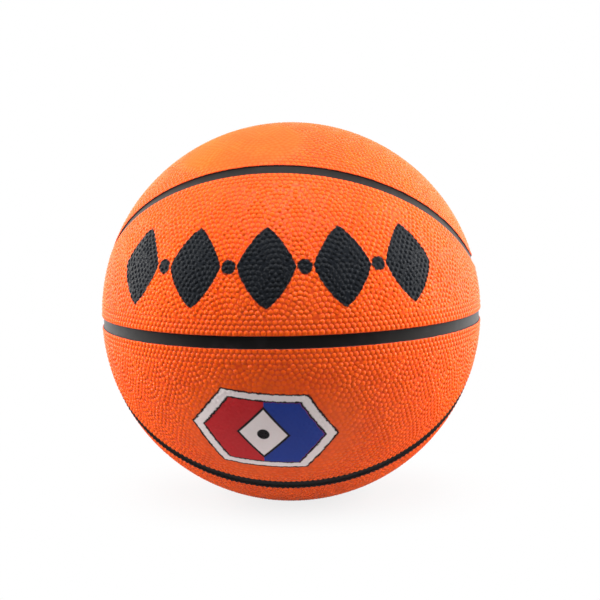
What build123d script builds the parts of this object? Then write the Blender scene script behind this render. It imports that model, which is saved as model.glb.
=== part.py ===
from build123d import *
import os
from math import cos, radians, sin, sqrt, tan

# Size 7 basketball, built as the real one is: bladder, thread winding and carcass as thin shells,
# eight cover panels and nine channel ribs bonded on them, and a rubber valve with a push-in plug.
# Lengths are in millimetres and angles in degrees. The origin is the centre of the ball, +Z is up,
# -Y is the side with the large print, and the valve sits in the middle channel at the back, on +Y.

# Wall of the ball, from the outside in
ball_radius = 120.5
cover_thickness = 1.5
carcass_thickness = 0.4
winding_thickness = 0.35
bladder_thickness = 0.75
cement_film = 0.05

# Channels between the panels and the ribs that fill their floors
channel_width = 6.3
channel_recess = 0.7
rib_gap = 0.05
lip_radius = 0.5

# Upper loop: a rounded V seen along the ball, turned a little about the upright axis
loop_height = 13.7
loop_flank_angle = 42.9
loop_turn_radius = 48.0
loop_twist = 2.87

# Valve boot
pad_radius = 6.5
neck_radius = 4.4
neck_gap = 0.1
flange_radius = 13.0
flange_rim = 0.6
flange_root = 2.0
barrel_radius = 5.6
barrel_depth = 21.0
barrel_end_wall = 3.0
barrel_chamfer = 1.0
air_port_radius = 1.2

# Valve plug and its needle hole
plug_head_radius = 3.4
plug_head_height = 1.6
plug_shank_radius = 2.7
plug_gap = 0.06
plug_sink = 0.3
plug_tip_gap = 0.6
plug_tip_chamfer = 0.6
needle_radius = 1.0
needle_length = 8.0
needle_mouth_radius = 1.7
needle_mouth_depth = 0.7

# Cuts run past the surface by this much
overrun = 10.0

# Radii and widths that follow from the sizes above
carcass_radius = ball_radius - cover_thickness
winding_radius = carcass_radius - carcass_thickness
bladder_radius = winding_radius - winding_thickness
inside_radius = bladder_radius - bladder_thickness
rib_radius = ball_radius - channel_recess
half_channel = channel_width / 2
half_rib = half_channel - rib_gap
reach = ball_radius + overrun

# Half turns that carry a piece from the front upper quarter to the other places
half_turns = {
    "front_upper": (0, 0, 0),
    "front_lower": (0, 180, 0),
    "back_upper": (0, 0, 180),
    "back_lower": (180, 0, 0),
}
side_turns = {
    "right_upper": (0, 0, 0),
    "left_upper": (0, 0, 180),
    "left_lower": (0, 180, 0),
    "right_lower": (180, 0, 0),
}
end_turns = {
    "upper": (0, 0, 0),
    "lower": (180, 0, 0),
}


def rise(radius: float, distance: float) -> float:
    """Height of a sphere above its middle, at a distance from the axis."""
    return sqrt(radius**2 - distance**2)


def layer(outer_radius: float, inner_radius: float) -> Part:
    """Closed hollow ball between two radii."""
    with BuildPart() as ball:
        Sphere(outer_radius)
        Sphere(inner_radius, mode=Mode.SUBTRACT)
    return ball.part


def loop_wedge(growth: float) -> Part:
    """Prism of everything inside the upper loop's centreline, grown outwards by growth."""
    slope = tan(radians(loop_flank_angle))
    tip = loop_height - growth / cos(radians(loop_flank_angle))
    half_width = reach / slope
    twist = radians(-loop_twist)
    loop_plane = Plane(
        origin=(0, 0, 0),
        x_dir=(-sin(twist), cos(twist), 0),
        z_dir=(cos(twist), sin(twist), 0),
    )
    with BuildPart() as wedge:
        with BuildSketch(loop_plane) as section:
            with BuildLine():
                Polyline((0, tip), (half_width, tip + reach), (-half_width, tip + reach), close=True)
            make_face()
            fillet(section.vertices().sort_by(Axis.Y)[0], radius=loop_turn_radius + growth)
        extrude(amount=reach, both=True)
    return wedge.part


def valve_cut(radius: float) -> Part:
    """Round bar along the valve's axis, from the ball's centre out through the back."""
    with BuildPart() as bar:
        with BuildSketch(Plane.ZX):
            Circle(radius)
        extrude(amount=reach)
    return bar.part


def write(piece: BuildPart, name: str) -> None:
    """Label a finished piece and store it under its name."""
    piece.part.label = name
    export_step(piece.part, f"parts/{name}.step")


os.makedirs("parts", exist_ok=True)

cover_layer = layer(ball_radius, carcass_radius + cement_film)
rib_layer = layer(rib_radius, carcass_radius + cement_film)
wedge_outside_channel = loop_wedge(half_channel)
wedge_inside_channel = loop_wedge(-half_channel)
wedge_outside_rib = loop_wedge(half_rib)
wedge_inside_rib = loop_wedge(-half_rib)
neck_hole = valve_cut(neck_radius + neck_gap)

# Bladder: butyl shell with the valve's hole
with BuildPart() as bladder:
    add(layer(bladder_radius - cement_film, inside_radius))
    add(neck_hole, mode=Mode.SUBTRACT)
write(bladder, "bladder")

# Nylon thread winding, taken as the even shell that its thousands of crossing turns make
with BuildPart() as nylon_winding:
    add(layer(winding_radius - cement_film, bladder_radius))
    add(neck_hole, mode=Mode.SUBTRACT)
write(nylon_winding, "nylon_winding")

# Carcass: thin rubber ball that carries the panels and ribs
with BuildPart() as carcass:
    add(layer(carcass_radius, winding_radius))
    add(neck_hole, mode=Mode.SUBTRACT)
write(carcass, "carcass")

# Valve boot: flange under the bladder, neck out through the wall, barrel inwards with the plug's socket
flange_face = inside_radius - cement_film
valve_top = rise(rib_radius, neck_radius)
plug_top = valve_top - plug_sink
plug_seat = plug_top - plug_head_height
barrel_end = valve_top - barrel_depth
socket_floor = barrel_end + barrel_end_wall
flange_edge_top = rise(flange_face, flange_radius)
flange_middle = (neck_radius + flange_radius) / 2
with BuildPart() as valve_boot:
    with BuildSketch(Plane.XY):
        with BuildLine():
            Polyline(
                (flange_radius, flange_edge_top),
                (flange_radius, flange_edge_top - flange_rim),
                (barrel_radius, rise(flange_face, barrel_radius) - flange_root),
                (barrel_radius, barrel_end + barrel_chamfer),
                (barrel_radius - barrel_chamfer, barrel_end),
                (air_port_radius, barrel_end),
                (air_port_radius, socket_floor),
                (plug_shank_radius + plug_gap, socket_floor),
                (plug_shank_radius + plug_gap, plug_seat),
                (plug_head_radius + plug_gap, plug_seat),
                (plug_head_radius + plug_gap, valve_top),
                (neck_radius, valve_top),
                (neck_radius, rise(flange_face, neck_radius)),
            )
            ThreePointArc(
                (neck_radius, rise(flange_face, neck_radius)),
                (flange_middle, rise(flange_face, flange_middle)),
                (flange_radius, flange_edge_top),
            )
        make_face()
    revolve(axis=Axis.Y)
write(valve_boot, "valve_boot")

# Valve plug: headed rubber stopper with a blind needle hole, whose closed end is slit by the needle
plug_tip = socket_floor + plug_tip_gap
needle_mouth = plug_top - needle_mouth_depth
needle_floor = needle_mouth - needle_length
with BuildPart() as valve_plug:
    with BuildSketch(Plane.XY):
        with BuildLine():
            Polyline(
                (needle_mouth_radius, plug_top),
                (plug_head_radius, plug_top),
                (plug_head_radius, plug_seat),
                (plug_shank_radius, plug_seat),
                (plug_shank_radius, plug_tip + plug_tip_chamfer),
                (plug_shank_radius - plug_tip_chamfer, plug_tip),
                (0, plug_tip),
                (0, needle_floor),
                (needle_radius, needle_floor),
                (needle_radius, needle_mouth),
                close=True,
            )
        make_face()
    revolve(axis=Axis.Y)
write(valve_plug, "valve_plug")

# Centre rib: ring round the middle, with a round pad where the valve's neck comes through
with BuildPart() as centre_rib:
    add(rib_layer)
    split(bisect_by=Plane.XY.offset(half_rib), keep=Keep.BOTTOM)
    split(bisect_by=Plane.XY.offset(-half_rib), keep=Keep.TOP)
with BuildPart() as valve_pad:
    add(rib_layer)
    add(valve_cut(pad_radius), mode=Mode.INTERSECT)
with BuildPart() as padded_rib:
    add(centre_rib.part)
    add(valve_pad.part)
    add(neck_hole, mode=Mode.SUBTRACT)
write(padded_rib, "centre_rib")

# Loop ribs: closed curved strips round the top and the bottom
with BuildPart() as loop_strip:
    add(rib_layer)
    add(wedge_outside_rib, mode=Mode.INTERSECT)
    add(wedge_inside_rib, mode=Mode.SUBTRACT)
for place, turn in end_turns.items():
    with BuildPart() as loop_rib:
        add(loop_strip.part, rotation=turn)
    write(loop_rib, f"loop_rib_{place}")

# Upright band in the XZ plane, cut by the loops into crown ribs and side ribs
with BuildPart() as upright_band:
    add(rib_layer)
    split(bisect_by=Plane.XZ.offset(half_rib), keep=Keep.BOTTOM)
    split(bisect_by=Plane.XZ.offset(-half_rib), keep=Keep.TOP)
with BuildPart() as crown_strip:
    add(upright_band.part)
    add(wedge_inside_channel, mode=Mode.INTERSECT)
for place, turn in end_turns.items():
    with BuildPart() as crown_rib:
        add(crown_strip.part, rotation=turn)
    write(crown_rib, f"crown_rib_{place}")
with BuildPart() as side_strip:
    add(upright_band.part)
    split(bisect_by=Plane.XY.offset(half_channel), keep=Keep.TOP)
    split(bisect_by=Plane.YZ, keep=Keep.TOP)
    add(wedge_outside_channel, mode=Mode.SUBTRACT)
for place, turn in side_turns.items():
    with BuildPart() as side_rib:
        add(side_strip.part, rotation=turn)
    write(side_rib, f"side_rib_{place}")

# Front upper centre panel: between the middle channel, the upright channel and the upper loop
with BuildPart() as centre_blank:
    add(cover_layer)
    split(bisect_by=Plane.XY.offset(half_channel), keep=Keep.TOP)
    split(bisect_by=Plane.XZ.offset(half_channel), keep=Keep.TOP)
    add(wedge_outside_channel, mode=Mode.SUBTRACT)
for place, turn in half_turns.items():
    with BuildPart() as centre_panel:
        add(centre_blank.part, rotation=turn)
        add(valve_cut(pad_radius + rib_gap), mode=Mode.SUBTRACT)
        outer_face = centre_panel.faces().sort_by(SortBy.AREA)[-1]
        fillet(outer_face.edges(), radius=lip_radius)
    write(centre_panel, f"centre_panel_{place}")

# Front upper crown panel: the front half of what the upper loop encloses
with BuildPart() as crown_blank:
    add(cover_layer)
    add(wedge_inside_channel, mode=Mode.INTERSECT)
    split(bisect_by=Plane.XZ.offset(half_channel), keep=Keep.TOP)
    outer_face = crown_blank.faces().sort_by(SortBy.AREA)[-1]
    fillet(outer_face.edges(), radius=lip_radius)
for place, turn in half_turns.items():
    with BuildPart() as crown_panel:
        add(crown_blank.part, rotation=turn)
    write(crown_panel, f"crown_panel_{place}")
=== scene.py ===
"""Looks of a rubber basketball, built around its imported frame.

Eight pebbled cover panels, nine channel ribs and the valve are modelled as meshes at the frame's
own sizes. The bladder, the thread winding and the carcass keep the frame's meshes under new finishes.
Lengths are in metres, the origin is the centre of the ball, +Z is up and the camera looks from -Y.
"""

import logging
import math
from dataclasses import dataclass, field
from enum import Enum
from typing import Any, Callable

import bmesh
import bpy
import numpy as np
from mathutils import Matrix, Vector
from mathutils.geometry import delaunay_2d_cdt
from mathutils.kdtree import KDTree


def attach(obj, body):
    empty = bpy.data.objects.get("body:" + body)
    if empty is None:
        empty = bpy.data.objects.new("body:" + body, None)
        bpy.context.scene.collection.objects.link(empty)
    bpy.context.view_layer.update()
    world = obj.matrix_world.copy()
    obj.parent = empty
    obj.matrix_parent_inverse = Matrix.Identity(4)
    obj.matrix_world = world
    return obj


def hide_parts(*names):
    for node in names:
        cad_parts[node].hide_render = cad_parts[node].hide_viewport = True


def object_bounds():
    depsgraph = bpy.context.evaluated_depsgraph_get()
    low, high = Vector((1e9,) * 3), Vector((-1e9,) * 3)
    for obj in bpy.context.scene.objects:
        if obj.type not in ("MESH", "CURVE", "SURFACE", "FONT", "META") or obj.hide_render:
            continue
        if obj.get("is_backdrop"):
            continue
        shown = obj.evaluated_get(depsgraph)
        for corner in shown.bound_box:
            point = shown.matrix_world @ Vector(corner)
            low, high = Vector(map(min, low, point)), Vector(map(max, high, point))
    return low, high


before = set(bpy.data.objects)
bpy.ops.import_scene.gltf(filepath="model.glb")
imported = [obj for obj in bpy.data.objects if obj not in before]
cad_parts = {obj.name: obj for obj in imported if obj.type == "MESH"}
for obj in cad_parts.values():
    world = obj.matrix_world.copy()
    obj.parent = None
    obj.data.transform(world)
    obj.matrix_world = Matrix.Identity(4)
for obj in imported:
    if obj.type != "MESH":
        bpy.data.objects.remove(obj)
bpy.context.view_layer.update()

LOG = logging.getLogger("basketball")
MM = 0.001
TINY = 1e-9
FULL_TURN = 2 * math.pi
ORIGIN = (0, 0, 0)
WHITE = (1.0, 1.0, 1.0, 1.0)
NOISE_MIDDLE = 0.5

# Search for closed lines on the sphere
LINE_BEARINGS = 7200
LINE_REACH = math.radians(118)
LINE_HALVINGS = 34
LINE_LEAST_POINTS = 8
LINE_SIDE = (0.0, 0.3, 1.0)

# Triangulation: it keeps what lies inside the closed line and takes points this near as one
INSIDE_ONLY = 1
SAME_POINT = 1e-7

Points = np.ndarray
Field = Callable[[Points], np.ndarray]
Range = tuple[float, float]
Triple = tuple[float, float, float]
Colour = tuple[float, float, float, float]
Signs = tuple[int, int, int]
Socket = bpy.types.NodeSocket
Feed = Socket | float | tuple
Ring = tuple[list[bmesh.types.BMVert], list[bmesh.types.BMEdge]]


def ink(red: int, green: int, blue: int) -> Colour:
    """Linear colour of a paint.

    Args:
        red: Screen value from 0 to 255.
        green: Screen value from 0 to 255.
        blue: Screen value from 0 to 255.

    Returns:
        The colour, fully opaque.
    """
    shares = [value / 255 for value in (red, green, blue)]
    linear = [s / 12.92 if s <= 0.04045 else ((s + 0.055) / 1.055) ** 2.4 for s in shares]
    return (linear[0], linear[1], linear[2], 1.0)


def ramp(values: np.ndarray, low: float, high: float) -> np.ndarray:
    """Smooth step from 0 at low to 1 at high."""
    share = np.clip((values - low) / (high - low), 0.0, 1.0)
    return share * share * (3 - 2 * share)


def unit(vectors: Points) -> Points:
    """Vectors scaled to length one."""
    return vectors / np.linalg.norm(vectors, axis=-1, keepdims=True)


def towards(bearing: float, lift: float) -> Points:
    """Unit direction at a bearing to the right of the front and a lift over the middle, in degrees."""
    turn, up = math.radians(bearing), math.radians(lift)
    return np.array([math.sin(turn) * math.cos(up), -math.cos(turn) * math.cos(up), math.sin(up)])


def great_circle_step(start: Points, heading: Points, angle: np.ndarray) -> Points:
    """Unit directions reached from start by turning through an angle towards heading."""
    turn = np.asarray(angle)[..., None]
    return start * np.cos(turn) + heading * np.sin(turn)


def sphere_lattice(spacing: float, radius: float) -> Points:
    """Even spiral of directions all over a sphere.

    Args:
        spacing: Mean distance between neighbours.
        radius: Radius of the sphere.

    Returns:
        Unit directions, one row each.
    """
    count = int(4 * math.pi * (radius / spacing) ** 2)
    index = np.arange(count)
    height = 1 - (2 * index + 1) / count
    turn = index * math.pi * (3 - math.sqrt(5))
    flat = np.sqrt(1 - height**2)
    return np.column_stack([flat * np.cos(turn), flat * np.sin(turn), height])


class Quarter(Enum):
    """Place of a panel, as the half turn that brings it there from the front upper quarter."""

    FRONT_UPPER = (1, 1, 1)
    FRONT_LOWER = (-1, 1, -1)
    BACK_UPPER = (-1, -1, 1)
    BACK_LOWER = (1, -1, -1)

    @property
    def label(self) -> str:
        """Name used in the nodes, such as front_upper."""
        return self.name.lower()


class Cut(Enum):
    """Shapes that the cover panels are cut to."""

    CENTRE = "centre"
    CENTRE_AT_VALVE = "centre_at_valve"
    CROWN = "crown"

    @property
    def family(self) -> str:
        """Name used in the nodes: centre or crown."""
        return "crown" if self is Cut.CROWN else "centre"


class Print(Enum):
    """What is printed on a panel, with the name of the material."""

    NONE = "orange_rubber"
    LOZENGES = "orange_rubber_with_lozenges"
    BADGE = "orange_rubber_with_badge"


class Corner(Enum):
    """Corners of a turned profile."""

    SHARP = "sharp"
    ROUND = "round"


Profile = list[tuple[float, float, Corner]]


@dataclass(frozen=True)
class BallSizes:
    """Wall of the ball."""

    radius: float = 120.5 * MM
    panel_back: float = 1.44 * MM
    half_channel: float = 3.15 * MM
    rib_gap: float = 0.05 * MM
    rib_recess: float = 0.95 * MM

    @property
    def panel_back_radius(self) -> float:
        """Radius of the panels' bonded face."""
        return self.radius - self.panel_back

    @property
    def rib_top_radius(self) -> float:
        """Radius of the channel floor."""
        return self.radius - self.rib_recess

    @property
    def half_rib(self) -> float:
        """Half the width of a rib."""
        return self.half_channel - self.rib_gap


@dataclass(frozen=True)
class ChannelPlan:
    """Lines that the channels follow, as signed distances from their centrelines."""

    loop_height: float = 13.7 * MM
    loop_flank: float = math.radians(42.9)
    loop_turn: float = 48.0 * MM
    loop_twist: float = math.radians(2.87)
    pad_radius: float = 6.55 * MM

    def loop(self, points: Points) -> np.ndarray:
        """Distance outside the upper loop, a rounded V seen along the ball.

        Args:
            points: Points on the ball, one row each.

        Returns:
            Distances from the loop's centreline, below zero inside it.
        """
        cosine, sine = math.cos(self.loop_flank), math.sin(self.loop_flank)
        sideways = math.sin(self.loop_twist) * points[:, 0]
        across = np.abs(sideways + math.cos(self.loop_twist) * points[:, 1])
        height = points[:, 2] - self.loop_height - self.loop_turn / cosine
        along = across * cosine + height * sine
        beside = across * sine - height * cosine
        return np.where(along > 0, beside, np.hypot(across, height)) - self.loop_turn

    def valve(self, points: Points) -> np.ndarray:
        """Distance outside the round valve pad, whose axis is Y."""
        return np.hypot(points[:, 0], points[:, 2]) - self.pad_radius

    def loop_slope(self, points: Points, probe: float = 0.01 * MM) -> Points:
        """Direction in which the loop's distance grows fastest.

        Args:
            points: Points on the ball, one row each.
            probe: Step to both sides over which the growth is measured.

        Returns:
            One slope a point, along the three axes.
        """
        steps = np.eye(3) * probe
        sides = [(self.loop(points + step) - self.loop(points - step)) / (2 * probe) for step in steps]
        return np.column_stack(sides)


def closed_line(margin: Field, centre: Points, radius: float, level: float, spacing: float) -> Points:
    """Evenly spaced points of the closed line on the sphere where a field has one value.

    Args:
        margin: Field that falls from inside the line to outside.
        centre: Unit direction inside the line, from which all of it is in sight.
        radius: Radius of the sphere.
        level: Value of the field along the line.
        spacing: Wanted distance between points.

    Returns:
        Points in order round the line.
    """
    bearings = np.linspace(0, FULL_TURN, LINE_BEARINGS, endpoint=False)
    side = unit(np.cross(centre, LINE_SIDE))
    over = np.cross(side, centre)
    heading = np.cos(bearings)[:, None] * side + np.sin(bearings)[:, None] * over
    near = np.zeros(LINE_BEARINGS)
    far = np.full(LINE_BEARINGS, LINE_REACH)
    for _ in range(LINE_HALVINGS):
        middle = (near + far) / 2
        inside = margin(great_circle_step(centre, heading, middle) * radius) > level
        near = np.where(inside, middle, near)
        far = np.where(inside, far, middle)
    line = great_circle_step(centre, heading, near) * radius
    loop = np.vstack([line, line[:1]])
    run = np.concatenate([[0.0], np.cumsum(np.linalg.norm(np.diff(loop, axis=0), axis=1))])
    count = max(LINE_LEAST_POINTS, round(run[-1] / spacing))
    marks = np.arange(count) * run[-1] / count
    even = np.column_stack([np.interp(marks, run, loop[:, axis]) for axis in range(3)])
    return unit(even) * radius


@dataclass(frozen=True)
class PanelOutline:
    """Edge of one panel in the front upper quarter."""

    cut: Cut
    sizes: BallSizes = field(default_factory=BallSizes)
    plan: ChannelPlan = field(default_factory=ChannelPlan)
    crown_lift: float = 60.0
    centre_lift: float = 17.0

    @property
    def centre(self) -> Points:
        """Unit direction from which the whole edge is in sight."""
        return towards(0.0, self.crown_lift if self.cut is Cut.CROWN else self.centre_lift)

    def margin(self, points: Points) -> np.ndarray:
        """Distance of points inside the panel's edge.

        Args:
            points: Points on the ball, one row each.

        Returns:
            Distances, below zero outside the panel.
        """
        channel = self.sizes.half_channel
        front = -points[:, 1] - channel
        loop = self.plan.loop(points)
        if self.cut is Cut.CROWN:
            return np.minimum(front, -loop - channel)
        inside = np.minimum(np.minimum(points[:, 2] - channel, front), loop - channel)
        if self.cut is Cut.CENTRE_AT_VALVE:
            inside = np.minimum(inside, self.plan.valve(points))
        return inside

    def line(self, level: float, spacing: float) -> Points:
        """Points at one distance inside the edge."""
        return closed_line(self.margin, self.centre, self.sizes.radius, level, spacing)

    def flat(self, points: Points) -> Points:
        """Points as seen on a plane, with round things kept round.

        Args:
            points: Points on the ball, one row each.

        Returns:
            Two flat coordinates a point.
        """
        side = np.array([1.0, 0.0, 0.0])
        over = np.cross(self.centre, side)
        directions = unit(points)
        scale = 2 / (1 + directions @ self.centre)
        return np.column_stack([directions @ side, directions @ over]) * scale[:, None]


def point_tree(points: Points) -> KDTree:
    """Search tree of points.

    Args:
        points: Points, one row each.

    Returns:
        The balanced tree, which gives the rows' numbers.
    """
    tree = KDTree(len(points))
    for index, point in enumerate(points):
        tree.insert(point, index)
    tree.balance()
    return tree


class PointGrid:
    """Points in boxes, to ask quickly whether a place is free."""

    def __init__(self, box: float) -> None:
        """Start empty.

        Args:
            box: Width of a box, not less than the largest gap that is asked for.
        """
        self.box = box
        self.held: dict[tuple[int, int, int], list[Points]] = {}
        self.around = [(i, j, k) for i in (-1, 0, 1) for j in (-1, 0, 1) for k in (-1, 0, 1)]

    def take(self, point: Points, gap: float) -> bool:
        """Keep a point if its place is free.

        Args:
            point: The point.
            gap: Distance within which no other point may lie.

        Returns:
            Whether the point was kept.
        """
        key = tuple(int(c) for c in np.floor(point / self.box))
        for i, j, k in self.around:
            for other in self.held.get((key[0] + i, key[1] + j, key[2] + k), ()):
                apart = point - other
                if apart @ apart < gap * gap:
                    return False
        self.held.setdefault(key, []).append(point)
        return True


@dataclass
class PebbleLayout:
    """Pebble centres of one panel: rows along its edge, then overlapping fans of curved rows."""

    outline: PanelOutline
    pitch: float = 3.02 * MM
    row_step: float = 2.88 * MM
    first_ring: int = 6
    edge_rows: tuple[float, ...] = (1.75 * MM, 4.4 * MM, 7.05 * MM)
    inner_share: float = 0.75
    fan_pitch: float = 25.5 * MM
    fan_rise: float = 14.5 * MM
    fan_rings: int = 7
    fan_spare: float = 0.25
    fan_rows: int = 9
    first_fan: float = 4.5 * MM
    least_gap: float = 2.4 * MM
    fill_gap: float = 2.12 * MM
    even_gap: float = 2.8 * MM
    even_push: float = 0.3
    even_rounds: int = 4
    search_step: float = 0.7 * MM
    search_parts: int = 4

    @property
    def fan_radius(self) -> float:
        """Reach of a fan over the fans behind it."""
        return (self.fan_rings + self.fan_spare) * self.row_step

    def base_axes(self) -> tuple[Points, Points, Points]:
        """Axes of the channel that the fans grow from.

        Returns:
            Pole of the channel's plane, its side axis and its axis to the front or the top.
        """
        side, ahead, up = np.array([1.0, 0.0, 0.0]), np.array([0.0, -1.0, 0.0]), np.array([0.0, 0.0, 1.0])
        if self.outline.cut is Cut.CROWN:
            return ahead, side, up
        return up, side, ahead

    def fans(self) -> tuple[Points, np.ndarray]:
        """Centres of the fans that reach the panel.

        Returns:
            Unit directions, and the row that each fan belongs to.
        """
        pole, side, face = self.base_axes()
        radius = self.outline.sizes.radius
        count = round(FULL_TURN * radius / self.fan_pitch)
        centres, rows = [], []
        for row in range(self.fan_rows):
            turn = FULL_TURN * (np.arange(count) + row % 2 / 2) / count
            rise = np.full(count, (self.first_fan + row * self.fan_rise) / radius)
            level = np.cos(turn)[:, None] * face + np.sin(turn)[:, None] * side
            centres.append(great_circle_step(level, pole, rise))
            rows.append(np.full(count, row))
        directions = np.vstack(centres)
        near = self.outline.margin(directions * radius) > -self.fan_radius
        return directions[near], np.concatenate(rows)[near]

    def fan_points(self) -> Points:
        """Points on the curved rows of every fan, where no fan nearer the base channel lies over it.

        Returns:
            Points on the ball, one row each.
        """
        radius = self.outline.sizes.radius
        centres, rows = self.fans()
        pole = self.base_axes()[0]
        kept = []
        for index, centre in enumerate(centres):
            side = unit(np.cross(pole, centre))
            over = np.cross(centre, side)
            for ring in range(1, self.fan_rings + 1):
                count = self.first_ring * ring
                turn = FULL_TURN * np.arange(count) / count + math.pi / self.first_ring
                heading = np.cos(turn)[:, None] * over + np.sin(turn)[:, None] * side
                reach = np.full(count, ring * self.row_step / radius)
                points = great_circle_step(centre, heading, reach)
                apart = np.arccos(np.clip(points @ centres.T, -1, 1)) * radius
                covered = (apart < self.fan_radius) & (rows < rows[index])
                beside = (apart < apart[:, [index]]) & (rows == rows[index])
                own = ~(covered.any(axis=1) | beside.any(axis=1))
                kept.append(points[own] * radius)
        return np.vstack(kept)

    def edge_points(self) -> Points:
        """Points of the edge rows, each row set between the points of the one before.

        Returns:
            Points on the ball, one row each.
        """
        row = self.outline.line(self.edge_rows[0], self.pitch)
        rows = [row]
        for level in self.edge_rows[1:]:
            tree = point_tree(self.outline.line(level, self.search_step / self.search_parts))
            between = (row + np.roll(row, -1, axis=0)) / 2
            row = np.array([tree.find(point)[0] for point in between])
            rows.append(row)
        return np.vstack(rows)

    def centres(self) -> Points:
        """All pebble centres of the panel: edge rows, fans, then whatever still fits between them.

        Returns:
            Points on the ball, one row each.
        """
        outline = self.outline
        radius = outline.sizes.radius
        grid = PointGrid(self.even_gap)
        kept = [p for p in self.edge_points() if grid.take(p, self.least_gap)]
        edge_count = len(kept)
        inner = self.edge_rows[-1] + self.row_step * self.inner_share
        fans = self.fan_points()
        fans = fans[outline.margin(fans) > inner]
        kept += [p for p in fans if grid.take(p, self.least_gap)]
        gaps = sphere_lattice(self.search_step, radius) * radius
        gaps = gaps[outline.margin(gaps) > inner]
        tree = point_tree(np.array(kept))
        room = np.array([tree.find(point)[2] for point in gaps])
        kept += [gaps[i] for i in np.argsort(-room) if grid.take(gaps[i], self.fill_gap)]
        return self.evened(np.array(kept), edge_count)

    def evened(self, points: Points, fixed: int) -> Points:
        """Points pushed gently apart where they crowd.

        Args:
            points: Points on the ball, one row each.
            fixed: How many of the first points stay.

        Returns:
            The moved points, in the same order.
        """
        radius = self.outline.sizes.radius
        for _ in range(self.even_rounds):
            tree = point_tree(points)
            moved = points.copy()
            for index in range(fixed, len(points)):
                here = points[index]
                for there, other, apart in tree.find_range(here, self.even_gap):
                    if other != index:
                        push = self.even_push * (self.even_gap - apart) / apart
                        moved[index] += (here - np.array(there)) * push
            points = unit(moved) * radius
        return points


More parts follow.
